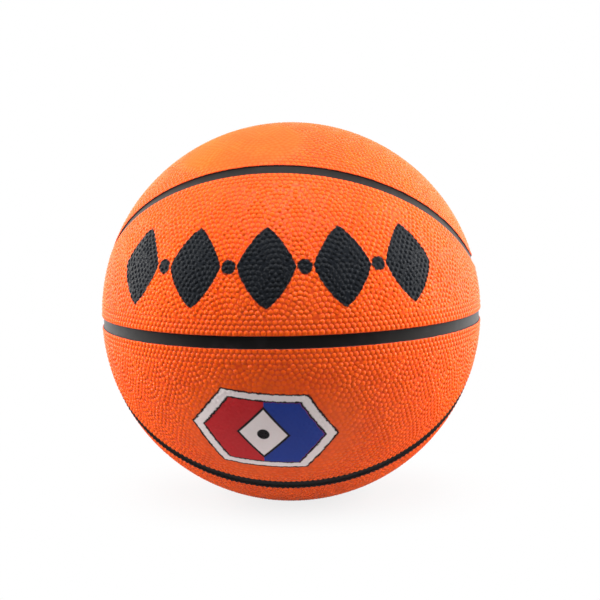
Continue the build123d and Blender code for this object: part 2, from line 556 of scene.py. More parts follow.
@dataclass
class PanelBlank:
    """One pebbled panel in the front upper quarter, ready to be turned to its places."""

    cut: Cut
    seed: int = 11
    edge_step: float = 1.6 * MM
    pebble_height: float = 0.6 * MM
    pebble_reach: float = 1.56 * MM
    pebble_fullness: float = 2.4
    tall_range: Range = (0.94, 1.04)
    flat_dome: float = 0.22
    valley_depth: float = 0.36 * MM
    shoulder_mark: float = 0.5
    mark_slack: float = 0.1
    shoulder_stretch: float = 1.62
    lip_width: float = 0.45 * MM
    lip_fade: float = 1.1 * MM
    lip_height: float = 0.38 * MM
    lip_drop: float = 0.8 * MM
    back_spacing: float = 8.0 * MM
    sizes: BallSizes = field(default_factory=BallSizes)
    outline: PanelOutline = field(init=False)
    pebbles: Points = field(init=False)
    mesh: bpy.types.Mesh = field(init=False)
    directions: Points = field(init=False)
    edge_distance: np.ndarray = field(init=False)
    is_back: np.ndarray = field(init=False)
    is_field: np.ndarray = field(init=False)
    dome: np.ndarray = field(init=False)
    lean: Points = field(init=False)
    tone: np.ndarray = field(init=False)

    def build(self) -> None:
        """Lay out the pebbles and make the closed sheet that carries them."""
        self.outline = PanelOutline(self.cut)
        self.pebbles = PebbleLayout(self.outline).centres()
        self.mesh = self.sheet()
        self.measure()

    def triangles(self, points: Points, edges: list[tuple[int, int]]) -> list[list[int]]:
        """Triangles between points on the sphere, inside a closed line.

        Args:
            points: Points on the ball, one row each.
            edges: Pairs of points that make the closed line.

        Returns:
            Three numbers of points a triangle.
        """
        flat = [Vector(p) for p in self.outline.flat(points)]
        _, _, faces, sources, _, _ = delaunay_2d_cdt(flat, edges, [], INSIDE_ONLY, SAME_POINT)
        first = [source[0] for source in sources]
        return [[first[corner] for corner in face] for face in faces]

    def sheet(self) -> bpy.types.Mesh:
        """Closed sheet of the panel: fine outer skin, wall down to the bond, coarse back.

        Returns:
            The mesh, with its back and its valleys marked.
        """
        edge = self.outline.line(0.0, self.edge_step)
        ring = [(i, (i + 1) % len(edge)) for i in range(len(edge))]
        points = np.vstack([edge, self.pebbles])
        shape = bmesh.new()
        backing = shape.verts.layers.int.new("backing")
        verts = [shape.verts.new(point) for point in points]
        for corners in self.triangles(points, ring):
            shape.faces.new([verts[c] for c in corners])
        self.split(shape)
        rim = [e for e in shape.edges if e.is_boundary]
        grown = bmesh.ops.extrude_edge_only(shape, edges=rim)["geom"]
        foot = [v for v in grown if isinstance(v, bmesh.types.BMVert)]
        for vert in foot + self.close_back(shape, foot):
            vert[backing] = 1
            vert.co = vert.co.normalized() * self.sizes.panel_back_radius
        bmesh.ops.recalc_face_normals(shape, faces=shape.faces[:])
        mesh = bpy.data.meshes.new(f"{self.cut.value}_blank")
        shape.to_mesh(mesh)
        shape.free()
        return mesh

    def split(self, shape: bmesh.types.BMesh) -> None:
        """Split the triangles between pebbles along the valleys, then once more, and mark the valleys.

        Args:
            shape: Sheet with a vertex at each pebble's centre.
        """
        valley = shape.verts.layers.float.new("valley")
        spans = shape.edges[:]
        hollows = bmesh.ops.poke(shape, faces=shape.faces[:])["verts"]
        for vert in hollows:
            vert[valley] = 1.0
        halves = bmesh.ops.subdivide_edges(shape, edges=spans, cuts=1, use_single_edge=True)["geom_split"]
        for vert in halves:
            if isinstance(vert, bmesh.types.BMVert):
                vert[valley] = 1.0
        bmesh.ops.subdivide_edges(shape, edges=shape.edges[:], cuts=1, use_grid_fill=True)

    def close_back(
        self, shape: bmesh.types.BMesh, foot: list[bmesh.types.BMVert]
    ) -> list[bmesh.types.BMVert]:
        """Close the bonded side with a coarse skin.

        Args:
            shape: Sheet with its wall.
            foot: Vertices of the wall's lower edge.

        Returns:
            The new vertices inside that edge.
        """
        place = {vert: index for index, vert in enumerate(foot)}
        edges = [
            (place[e.verts[0]], place[e.verts[1]])
            for e in shape.edges
            if e.is_boundary and e.verts[0] in place and e.verts[1] in place
        ]
        lattice = sphere_lattice(self.back_spacing, self.sizes.radius) * self.sizes.radius
        inner = lattice[self.outline.margin(lattice) > self.back_spacing / 2]
        middle = [shape.verts.new(point) for point in inner]
        verts = foot + middle
        points = np.array([vert.co for vert in verts])
        for corners in self.triangles(points, edges):
            shape.faces.new([verts[c] for c in corners])
        return middle

    def marks(self, name: str, kind: type) -> np.ndarray:
        """Marks of all vertices.

        Args:
            name: Name of the layer.
            kind: Number type that it holds.

        Returns:
            One number a vertex.
        """
        values = np.empty(len(self.mesh.vertices), dtype=kind)
        self.mesh.attributes[name].data.foreach_get("value", values)
        return values

    def measure(self) -> None:
        """Work out, for every vertex, its direction, its distance from the edge and its pebble."""
        places = np.empty(len(self.mesh.vertices) * 3)
        self.mesh.vertices.foreach_get("co", places)
        on_ball = unit(places.reshape(-1, 3)) * self.sizes.radius
        self.is_back = self.marks("backing", np.int32) > 0
        tree = point_tree(self.pebbles)
        found = [tree.find(point) for point in on_ball]
        owner = np.array([index for _, index, _ in found])
        apart = np.array([distance for _, _, distance in found])
        half_way = np.abs(self.marks("valley", np.float32) - self.shoulder_mark) < self.mark_slack
        shoulder = half_way & (self.outline.margin(on_ball) > self.lip_fade)
        stretch = np.where(shoulder & ~self.is_back, self.shoulder_stretch, 1.0)
        centres = self.pebbles[owner]
        self.directions = unit(centres + (on_ball - centres) * stretch[:, None])
        on_ball = self.directions * self.sizes.radius
        self.edge_distance = np.maximum(self.outline.margin(on_ball), 0.0)
        self.is_field = ~self.is_back & (self.edge_distance > self.lip_fade)
        self.shape_pebbles(owner, on_ball - centres, np.clip(apart * stretch / self.pebble_reach, 0, 1))

    def shape_pebbles(self, owner: np.ndarray, away: Points, share: np.ndarray) -> None:
        """Work out the height, the lean and the tone of the pebble at every vertex.

        Args:
            owner: Number of the nearest pebble.
            away: Way from that pebble's centre to the vertex.
            share: Length of that way, 1 at the pebble's reach.
        """
        draw = np.random.default_rng(self.seed)
        tall = draw.uniform(*self.tall_range, len(self.pebbles))[owner]
        self.tone = draw.random(len(self.pebbles))[owner]
        swell = share**self.pebble_fullness
        self.dome = np.cos(swell * math.pi / 2) ** 2 * tall
        away = away - self.directions * np.sum(away * self.directions, axis=1, keepdims=True)
        away /= np.maximum(np.linalg.norm(away, axis=1, keepdims=True), TINY)
        fall = np.sin(swell * math.pi) * self.pebble_fullness * share ** (self.pebble_fullness - 1)
        self.lean = away * (fall * tall * math.pi / 2)[:, None]

    def normals(self, pebbling: np.ndarray) -> Points:
        """Directions that the round pebbles face at every vertex, and zero off them."""
        steep = self.pebble_height / self.pebble_reach * pebbling
        return unit(self.directions + self.lean * steep[:, None]) * self.is_field[:, None]

    def skin(self, pebbling: np.ndarray) -> tuple[Points, np.ndarray]:
        """Finished vertices, and how far each stands up from the valleys.

        Args:
            pebbling: Share of the full pebble height at every vertex.

        Returns:
            Points in the front upper quarter, and heights from 0 to 1.
        """
        rise = self.dome * self.pebble_height * pebbling
        lip = self.lip_height * (1 - ramp(self.edge_distance, self.lip_width, self.lip_fade))
        short = np.clip(1 - self.edge_distance / self.lip_width, 0, 1)
        lip = lip - self.lip_drop * short**2
        flush = self.valley_depth * (1 - pebbling)
        on_lip = short > 0
        edge_top = np.where(on_lip, lip, np.maximum(lip, rise))
        top = np.where(self.edge_distance < self.lip_fade, edge_top, rise) + flush * ~on_lip
        radius = self.sizes.radius - self.valley_depth + top
        radius = np.where(self.is_back, self.sizes.panel_back_radius, radius)
        shown = self.dome * pebbling + self.flat_dome * (1 - pebbling)
        return self.directions * radius[:, None], np.clip(shown, 0, 1)


def surface_place(directions: Points, bearing: float, lift: float, tilt: float, radius: float) -> Points:
    """Distances along the ball's surface from a point on its front.

    Args:
        directions: Unit directions from the centre of the ball.
        bearing: Angle of the point to the right of the front, in degrees.
        lift: Angle of the point above the middle, in degrees.
        tilt: Turn of the two axes against the clock, in degrees.
        radius: Radius of the ball.

    Returns:
        One row a direction: distance to the right and distance upwards.
    """
    turn, lean = math.radians(bearing), math.radians(tilt)
    right = np.array([math.cos(turn), math.sin(turn), 0.0])
    ahead = towards(bearing, lift)
    across, height = directions @ right, directions @ np.cross(ahead, right)
    angle = np.arccos(np.clip(directions @ ahead, -1, 1))
    reach = angle * radius / np.maximum(np.hypot(across, height), TINY)
    across, height = across * reach, height * reach
    cosine, sine = math.cos(lean), math.sin(lean)
    return np.column_stack([across * cosine + height * sine, height * cosine - across * sine])


def band_place(directions: Points, bearing: float, lift: float, radius: float) -> Points:
    """Distances along a level band of the ball.

    Args:
        directions: Unit directions from the centre of the ball.
        bearing: Where the band starts, to the right of the front, in degrees.
        lift: Angle of the band's middle over the ball's middle, in degrees.
        radius: Radius of the ball.

    Returns:
        One row a direction: distance round the band and distance up from its middle.
    """
    turn = np.arctan2(directions[:, 0], -directions[:, 1]) - math.radians(bearing)
    up = np.arcsin(np.clip(directions[:, 2], -1, 1)) - math.radians(lift)
    return np.column_stack([turn * radius * math.cos(math.radians(lift)), up * radius])


@dataclass(frozen=True)
class SmoothPatch:
    """Round area where the pebbles are shallow, placed in degrees."""

    bearing: float
    lift: float
    half_width: float
    half_height: float
    left: float
    fade: float = 0.28

    def pebbling(self, directions: Points, radius: float) -> np.ndarray:
        """Share of the pebble height that is left.

        Args:
            directions: Unit directions from the centre of the ball.
            radius: Radius of the ball.

        Returns:
            One share a direction.
        """
        place = surface_place(directions, self.bearing, self.lift, 0.0, radius)
        reach = np.hypot(place[:, 0] / self.half_width, place[:, 1] / self.half_height)
        return self.left + (1 - self.left) * ramp(reach, 1 - self.fade, 1 + self.fade)


@dataclass(frozen=True)
class Noise:
    """Cloudy noise: cycles a metre, layers of detail and how strong the fine layers are."""

    scale: float
    detail: float = 2.0
    roughness: float = 0.5


class NodeGraph:
    """Node tree of a material or the world, with short calls for the nodes that the finishes use."""

    def __init__(self, owner: bpy.types.Material | bpy.types.World) -> None:
        """Start with an empty tree.

        Args:
            owner: Material or world that the tree belongs to.
        """
        owner.use_nodes = True
        self.owner = owner
        self.tree = owner.node_tree
        self.tree.nodes.clear()
        coordinates = self.node("ShaderNodeTexCoord")
        self.place = coordinates.outputs["Object"]
        self.direction = coordinates.outputs["Generated"]

    @classmethod
    def material(cls, name: str) -> "NodeGraph":
        """Graph of a new material."""
        return cls(bpy.data.materials.new(name))

    def feed(self, socket: Socket, value: Feed) -> None:
        """Link a socket to another, or set its value.

        Args:
            socket: Input of a node.
            value: Output of another node, or a constant.
        """
        if isinstance(value, Socket):
            self.tree.links.new(value, socket)
        else:
            socket.default_value = value

    def node(self, kind: str, inputs: dict[Any, Feed] | None = None, **settings: Any) -> bpy.types.Node:
        """New node.

        Args:
            kind: Type of the node.
            inputs: What goes into its inputs, by name or number.
            settings: Its other settings.

        Returns:
            The node.
        """
        node = self.tree.nodes.new(kind)
        for key, value in settings.items():
            setattr(node, key, value)
        for key, value in (inputs or {}).items():
            self.feed(node.inputs[key], value)
        return node

    def sum(self, operation: str, first: Feed, second: Feed = 0.0) -> Socket:
        """Result of one sum on two numbers."""
        return self.node("ShaderNodeMath", {0: first, 1: second}, operation=operation).outputs[0]

    def plus(self, first: Feed, second: Feed) -> Socket:
        """Two numbers added."""
        return self.sum("ADD", first, second)

    def minus(self, first: Feed, second: Feed) -> Socket:
        """Second number taken from the first."""
        return self.sum("SUBTRACT", first, second)

    def times(self, first: Feed, second: Feed) -> Socket:
        """Two numbers multiplied."""
        return self.sum("MULTIPLY", first, second)

    def over(self, first: Feed, second: Feed) -> Socket:
        """First number divided by the second."""
        return self.sum("DIVIDE", first, second)

    def most(self, first: Feed, second: Feed) -> Socket:
        """Larger of two numbers."""
        return self.sum("MAXIMUM", first, second)

    def size(self, value: Feed) -> Socket:
        """Number without its sign."""
        return self.sum("ABSOLUTE", value)

    def apart(self, across: Feed, height: Feed) -> Socket:
        """Distance from the middle of a flat place."""
        squares = [self.sum("POWER", part, 2.0) for part in (across, height)]
        return self.sum("SQRT", self.plus(*squares))

    def step(self, value: Feed, low: float, high: float) -> Socket:
        """Smooth step from 0 at low to 1 at high."""
        inputs = {"Value": value, "From Min": low, "From Max": high}
        return self.node("ShaderNodeMapRange", inputs, interpolation_type="SMOOTHSTEP").outputs["Result"]

    def below(self, value: Feed, edge: float, soft: float) -> Socket:
        """Mask of where a value is below an edge, which is soft on both sides."""
        return self.step(value, edge + soft, edge - soft)

    def span(self, value: Feed, low: float, high: float) -> Socket:
        """Straight map of 0 to 1 onto low to high."""
        inputs = {"Value": value, "To Min": low, "To Max": high}
        return self.node("ShaderNodeMapRange", inputs).outputs["Result"]

    def mix(self, share: Feed, first: Feed, second: Feed) -> Socket:
        """Number between two numbers."""
        return self.node("ShaderNodeMix", {0: share, 2: first, 3: second}).outputs[0]

    def blend(self, share: Feed, first: Feed, second: Feed) -> Socket:
        """Colour between two colours."""
        return self.node("ShaderNodeMix", {0: share, 6: first, 7: second}, data_type="RGBA").outputs[2]

    def vector(self, operation: str, first: Feed, second: Feed = ORIGIN, result: str = "Vector") -> Socket:
        """Result of one sum on two vectors, which is a vector or, as Value, a number."""
        node = self.node("ShaderNodeVectorMath", {0: first, 1: second}, operation=operation)
        return node.outputs[result]

    def length(self, vector: Feed) -> Socket:
        """Length of a vector."""
        return self.vector("LENGTH", vector, result="Value")

    def along(self, first: Feed, second: Feed) -> Socket:
        """How far one vector reaches along another of length one."""
        return self.vector("DOT_PRODUCT", first, second, "Value")

    def height(self, vector: Feed) -> Socket:
        """Upright part of a vector."""
        return self.node("ShaderNodeSeparateXYZ", {0: vector}).outputs["Z"]

    def noise(self, noise: Noise) -> Socket:
        """Cloudy noise on the object's own coordinates.

        Args:
            noise: Its scale and detail.

        Returns:
            Values about the noise's middle.
        """
        inputs = {
            "Vector": self.place,
            "Scale": noise.scale,
            "Detail": noise.detail,
            "Roughness": noise.roughness,
        }
        return self.node("ShaderNodeTexNoise", inputs).outputs["Fac"]

    def number(self, name: str) -> Socket:
        """Value of a vertex attribute."""
        return self.node("ShaderNodeAttribute", attribute_name=name).outputs["Fac"]

    def pair(self, name: str) -> tuple[Socket, Socket]:
        """First two values of a vertex attribute.

        Args:
            name: Name of the attribute.

        Returns:
            The two values.
        """
        vector = self.node("ShaderNodeAttribute", attribute_name=name).outputs["Vector"]
        parts = self.node("ShaderNodeSeparateXYZ", {0: vector})
        return parts.outputs["X"], parts.outputs["Y"]

    def bump(self, height: Feed, strength: float, distance: float) -> Socket:
        """Normal bent by a height."""
        inputs = {"Height": height, "Strength": strength, "Distance": distance}
        return self.node("ShaderNodeBump", inputs).outputs["Normal"]

    def close(self, inputs: dict[str, Feed]) -> bpy.types.Material:
        """End the graph with a principled surface.

        Args:
            inputs: What goes into the surface's inputs.

        Returns:
            The finished material.
        """
        shader = self.node("ShaderNodeBsdfPrincipled", inputs)
        self.node("ShaderNodeOutputMaterial", {"Surface": shader.outputs[0]})
        return self.owner


@dataclass(frozen=True)
class LozengeRow:
    """Large black print, in degrees and millimetres: five full lozenges with round dots between them."""

    bearing: float = -2.5
    lift: float = 18.6
    step: float = 40.0
    half_width: float = 15.5
    half_height: float = 22.0
    fullness: float = 1.28
    dot_radius: float = 4.0
    dots_end: float = 80.0
    dots_fade: float = 1.0
    reach: float = 97.0
    soft: float = 0.03
    black: Colour = ink(27, 30, 35)

    def place(self, directions: Points, radius: float) -> Points:
        """Where directions lie on the print, in millimetres."""
        return band_place(directions, self.bearing, self.lift, radius) / MM

    def layers(self, graph: NodeGraph, ragged: Socket) -> list[tuple[Socket, Colour]]:
        """Layers of ink, from the bottom up.

        Args:
            graph: Material that is printed on.
            ragged: How far the edges wander.

        Returns:
            Mask and colour of each layer.
        """
        across, height = graph.pair("print_place")
        wide, half_step = graph.size(across), self.step / 2
        limits = {0: across, 1: half_step, 2: -half_step}
        beside = graph.size(graph.node("ShaderNodeMath", limits, operation="WRAP").outputs[0])
        shares = (graph.over(beside, self.half_width), graph.over(graph.size(height), self.half_height))
        bulges = [graph.sum("POWER", share, self.fullness) for share in shares]
        lozenge = graph.minus(graph.plus(*bulges), 1.0)
        apart = graph.apart(graph.minus(beside, half_step), height)
        dot = graph.over(graph.minus(apart, self.dot_radius), self.half_width)
        past_dots = graph.step(wide, self.dots_end - self.dots_fade, self.dots_end + self.dots_fade)
        figure = graph.sum("MINIMUM", lozenge, graph.plus(dot, past_dots))
        figure = graph.most(graph.plus(figure, ragged), graph.minus(wide, self.reach))
        return [(graph.below(figure, 0.0, self.soft), self.black)]


@dataclass(frozen=True)
class Badge:
    """Small coloured print, in degrees and millimetres: a field in two halves, a rim and a lozenge."""

    bearing: float = -4.9
    lift: float = -25.2
    tilt: float = -5.0
    half_width: float = 41.0
    half_height: float = 26.0
    flat_share: float = 0.58
    rim_share: float = 0.8
    line_share: float = 0.035
    field_soft: float = 0.012
    ragged_share: float = 0.5
    lozenge_width: float = 13.0
    lozenge_height: float = 16.0
    lozenge_line: float = 1.13
    lozenge_soft: float = 0.03
    dot_radius: float = 3.4
    line_soft: float = 0.3
    pale: Colour = ink(236, 224, 224)
    black: Colour = ink(38, 34, 36)
    red: Colour = ink(196, 38, 44)
    blue: Colour = ink(38, 62, 150)

    def place(self, directions: Points, radius: float) -> Points:
        """Where directions lie on the print, in millimetres."""
        return surface_place(directions, self.bearing, self.lift, self.tilt, radius) / MM

    def layers(self, graph: NodeGraph, ragged: Socket) -> list[tuple[Socket, Colour]]:
        """Layers of ink, from the bottom up.

        Args:
            graph: Material that is printed on.
            ragged: How far the edges wander.

        Returns:
            Mask and colour of each layer.
        """
        across, height = graph.pair("print_place")
        wide, tall = graph.size(across), graph.size(height)
        level = graph.over(tall, self.half_height)
        slant = graph.plus(graph.over(wide, self.half_width), graph.times(level, 1 - self.flat_share))
        six_sided = graph.plus(graph.most(level, slant), graph.times(ragged, self.ragged_share))
        lozenge = graph.plus(graph.over(wide, self.lozenge_width), graph.over(tall, self.lozenge_height))
        edges = (1.0, 1.0 - self.line_share, self.rim_share + self.line_share, self.rim_share)
        outer, rim, inner, halves = (graph.below(six_sided, edge, self.field_soft) for edge in edges)
        right_half = graph.times(halves, graph.step(across, -self.line_soft, self.line_soft))
        return [
            (outer, self.black),
            (rim, self.pale),
            (inner, self.black),
            (halves, self.red),
            (right_half, self.blue),
            (graph.below(lozenge, self.lozenge_line, self.lozenge_soft), self.black),
            (graph.below(lozenge, 1.0, self.lozenge_soft), self.pale),
            (graph.below(graph.apart(across, height), self.dot_radius, self.line_soft), self.black),
        ]


Design = LozengeRow | Badge | None


@dataclass(frozen=True)
class OrangeRubber:
    """Moulded orange cover rubber with printed ink, channel paint on its lips and painted shade in the
    valleys between the pebbles.
    """

    bright: Colour = ink(250, 93, 4)
    deep: Colour = ink(247, 87, 3)
    cloud: Noise = Noise(34.0, 3.0)
    cloud_range: Range = (0.32, 0.68)
    tone_range: Range = (0.93, 1.05)
    # Painted shade: a darker, redder colour mixed into the low valleys between the pebbles
    valley: Colour = ink(220, 44, 0)
    hollow_dome: float = 0.35
    valley_shade_share: float = 0.6
    ragged: Noise = Noise(420.0, 3.0, 0.6)
    ragged_reach: float = 0.07
    paint: Colour = ink(34, 32, 33)
    paint_noise: Noise = Noise(260.0, 4.0, 0.65)
    paint_edge: float = 0.24
    paint_wander: float = 0.55
    paint_soft: float = 0.08
    # Wider black low on the ball: partly paint run, partly painted shade where the lip rolls under
    low_paint_and_shade: float = 1.3
    low_range: Range = (-20 * MM, -50 * MM)
    grain: Noise = Noise(2600.0, 4.0, 0.6)
    grain_strength: float = 0.06
    grain_depth: float = 0.06 * MM
    roughness: Range = (0.24, 0.34)
    matte_gain: float = 0.4
    hollow_gain: float = 0.3
    ink_gloss: float = 0.06

    def build(self, name: str, design: Design) -> bpy.types.Material:
        """Material of the cover, with a printed design or plain.

        Args:
            name: Name of the material.
            design: What is printed on the panel.

        Returns:
            The finished material.
        """
        graph = NodeGraph.material(name)
        cloud = graph.step(graph.noise(self.cloud), *self.cloud_range)
        body = graph.blend(cloud, self.deep, self.bright)
        shade = graph.span(graph.number("tone"), *self.tone_range)
        tinted = graph.node("ShaderNodeVectorMath", {0: body, "Scale": shade}, operation="SCALE").outputs[0]
        # Painted shade in the pebble valleys, strongest where the dome attribute is low
        hollow = graph.step(graph.number("dome"), self.hollow_dome, 0.0)
        colour = graph.blend(graph.times(hollow, self.valley_shade_share), tinted, self.valley)
        inked: Feed = 0.0
        if design is not None:
            ragged = graph.span(graph.noise(self.ragged), -self.ragged_reach, self.ragged_reach)
            for mask, paint in design.layers(graph, ragged):
                colour = graph.blend(mask, colour, paint)
                inked = graph.most(inked, mask)
        colour = graph.blend(self.bled(graph), colour, self.paint)
        grain = graph.noise(self.grain)
        dull = graph.times(graph.number("matte"), self.matte_gain)
        worn = graph.times(graph.times(hollow, graph.minus(1.0, inked)), self.hollow_gain)
        rough = graph.plus(graph.plus(graph.span(grain, *self.roughness), dull), worn)
        rough = graph.minus(rough, graph.times(inked, self.ink_gloss))
        normal = graph.bump(grain, self.grain_strength, self.grain_depth)
        return graph.close({"Base Color": colour, "Roughness": rough, "Normal": normal})

    def bled(self, graph: NodeGraph) -> Socket:
        """Where the channel's paint has run over the lip, which is further low on the ball; there the wider
        dark band is partly paint and partly painted shade where the lip rolls under.

        Args:
            graph: Material of the cover.

        Returns:
            Mask of the paint.
        """
        wander = graph.minus(graph.noise(self.paint_noise), NOISE_MIDDLE)
        wander = graph.times(wander, self.paint_wander)
        # Low on the ball the band widens: partly paint, partly painted shade under the rolled lip
        low = graph.times(graph.step(graph.height(graph.place), *self.low_range), self.low_paint_and_shade)
        bleed = graph.plus(graph.plus(self.paint_edge, wander), low)
        return graph.below(graph.minus(graph.number("rim"), bleed), 0.0, self.paint_soft)


@dataclass(frozen=True)
class BlackRubber:
    """Smooth black channel rubber with faint dust and scuffs."""

    body: Colour = ink(21, 18, 19)
    dust: Colour = ink(35, 31, 33)
    dust_noise: Noise = Noise(120.0, 5.0, 0.65)
    dust_range: Range = (0.5, 0.75)
    scuffs: Noise = Noise(340.0, 4.0, 0.6)
    roughness: Range = (0.36, 0.5)
    refraction: float = 1.75
    grain: Noise = Noise(900.0, 3.0, 0.6)
    grain_strength: float = 0.12
    grain_depth: float = 0.1 * MM

    def build(self, name: str) -> bpy.types.Material:
        """Material of the ribs.

        Args:
            name: Name of the material.

        Returns:
            The finished material.
        """
        graph = NodeGraph.material(name)
        dusty = graph.step(graph.noise(self.dust_noise), *self.dust_range)
        surface = {
            "Base Color": graph.blend(dusty, self.body, self.dust),
            "Roughness": graph.span(graph.noise(self.scuffs), *self.roughness),
            "IOR": self.refraction,
            "Normal": graph.bump(graph.noise(self.grain), self.grain_strength, self.grain_depth),
        }
        return graph.close(surface)


@dataclass(frozen=True)
class PlainRubber:
    """Matte moulded rubber of the inner pieces and the valve."""

    body: Colour
    worn: Colour
    roughness: float = 0.6
    roughness_spread: Range = (-0.08, 0.1)
    blotches: Noise = Noise(90.0, 4.0, 0.6)
    blotch_range: Range = (0.4, 0.7)
    speckle: Noise = Noise(1500.0, 3.0, 0.6)
    speckle_strength: float = 0.2
    speckle_depth: float = 0.08 * MM

    def build(self, name: str) -> bpy.types.Material:
        """Material with a fine speckle and soft blotches.

        Args:
            name: Name of the material.

        Returns:
            The finished material.
        """
        graph = NodeGraph.material(name)
        blotch = graph.step(graph.noise(self.blotches), *self.blotch_range)
        speckle = graph.noise(self.speckle)
        surface = {
            "Base Color": graph.blend(blotch, self.body, self.worn),
            "Roughness": graph.span(speckle, *(self.roughness + part for part in self.roughness_spread)),
            "Normal": graph.bump(speckle, self.speckle_strength, self.speckle_depth),
        }
        return graph.close(surface)


@dataclass(frozen=True)
class WoundThread:
    """Nylon thread wound in crossing turns, held by a thin film of rubber cement."""

    thread: Colour = ink(216, 212, 200)
    gap: Colour = ink(150, 142, 124)
    band_scale: float = 143.312
    wobble: float = 0.6
    detail: float = 1.0
    tilts: Triple = (0.3, 1.35, 2.4)
    tilt_shares: Triple = (1.0, 0.7, 1.3)
    roughness: Range = (0.7, 0.5)
    band_strength: float = 0.5
    band_depth: float = 0.2 * MM

    def build(self, name: str) -> bpy.types.Material:
        """Material with three crossing sets of fine bands.

        Args:
            name: Name of the material.

        Returns:
            The finished material.
        """
        graph = NodeGraph.material(name)
        height: Feed = 0.0
        for tilt in self.tilts:
            turn = tuple(tilt * share for share in self.tilt_shares)
            mapping = {"Vector": graph.place, "Rotation": turn}
            turned = graph.node("ShaderNodeMapping", mapping).outputs["Vector"]
            inputs = {
                "Vector": turned,
                "Scale": self.band_scale,
                "Distortion": self.wobble,
                "Detail": self.detail,
            }
            band = graph.node("ShaderNodeTexWave", inputs, wave_type="BANDS").outputs["Fac"]
            height = graph.most(height, band)
        surface = {
            "Base Color": graph.blend(height, self.gap, self.thread),
            "Roughness": graph.span(height, *self.roughness),
            "Normal": graph.bump(height, self.band_strength, self.band_depth),
        }
        return graph.close(surface)


def add_piece(
    name: str, mesh: bpy.types.Mesh, finish: bpy.types.Material, node: str, body: str
) -> None:
    """Put a finished mesh into the scene in place of a frame node.

    Args:
        name: Name of the piece.
        mesh: Finished mesh, in place.
        finish: Its material.
        node: Frame node that the piece stands for.
        body: Body that it moves with.
    """
    mesh.materials.clear()
    mesh.materials.append(finish)
    piece = bpy.data.objects.new(name, mesh)
    bpy.context.scene.collection.objects.link(piece)
    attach(piece, body)
    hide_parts(node)
    LOG.info("%s: %d faces, on %s", name, len(mesh.polygons), body)


def turned_mesh(source: bpy.types.Mesh, name: str, signs: Signs) -> bpy.types.Mesh:
    """Copy of a mesh, carried by a half turn.

    Args:
        source: Mesh in the front upper quarter.
        name: Name of the copy.
        signs: Signs that the half turn gives the axes.

    Returns:
        The copy.
    """
    mesh = source.copy()
    mesh.name = name
    mesh.transform(Matrix.Diagonal((*signs, 1)))
    return mesh


def finish_mesh(shape: bmesh.types.BMesh, name: str, crease: float = 50.0) -> bpy.types.Mesh:
    """Mesh with its faces outwards and smooth shading.

    Args:
        shape: Finished shape, which is freed.
        name: Name of the mesh.
        crease: Angle in degrees from which an edge stays sharp.

    Returns:
        The mesh.
    """
    bmesh.ops.recalc_face_normals(shape, faces=shape.faces[:])
    mesh = bpy.data.meshes.new(name)
    shape.to_mesh(mesh)
    shape.free()
    mesh.shade_smooth()
    mesh.set_sharp_from_angle(angle=math.radians(crease))
    return mesh


def spin(shape: bmesh.types.BMesh, geometry: list[Any], axis: Triple, angle: float, steps: int) -> None:
    """Sweep an outline round an axis through the ball's centre.

    Args:
        shape: Shape that the outline is in.
        geometry: Its vertices and edges.
        axis: Direction of the axis.
        angle: Angle of the sweep, which closes when it is a full turn.
        steps: Steps on the way.
    """
    whole = angle == FULL_TURN
    bmesh.ops.spin(
        shape, geom=geometry, cent=ORIGIN, axis=axis, angle=angle, steps=steps, use_merge=whole
    )


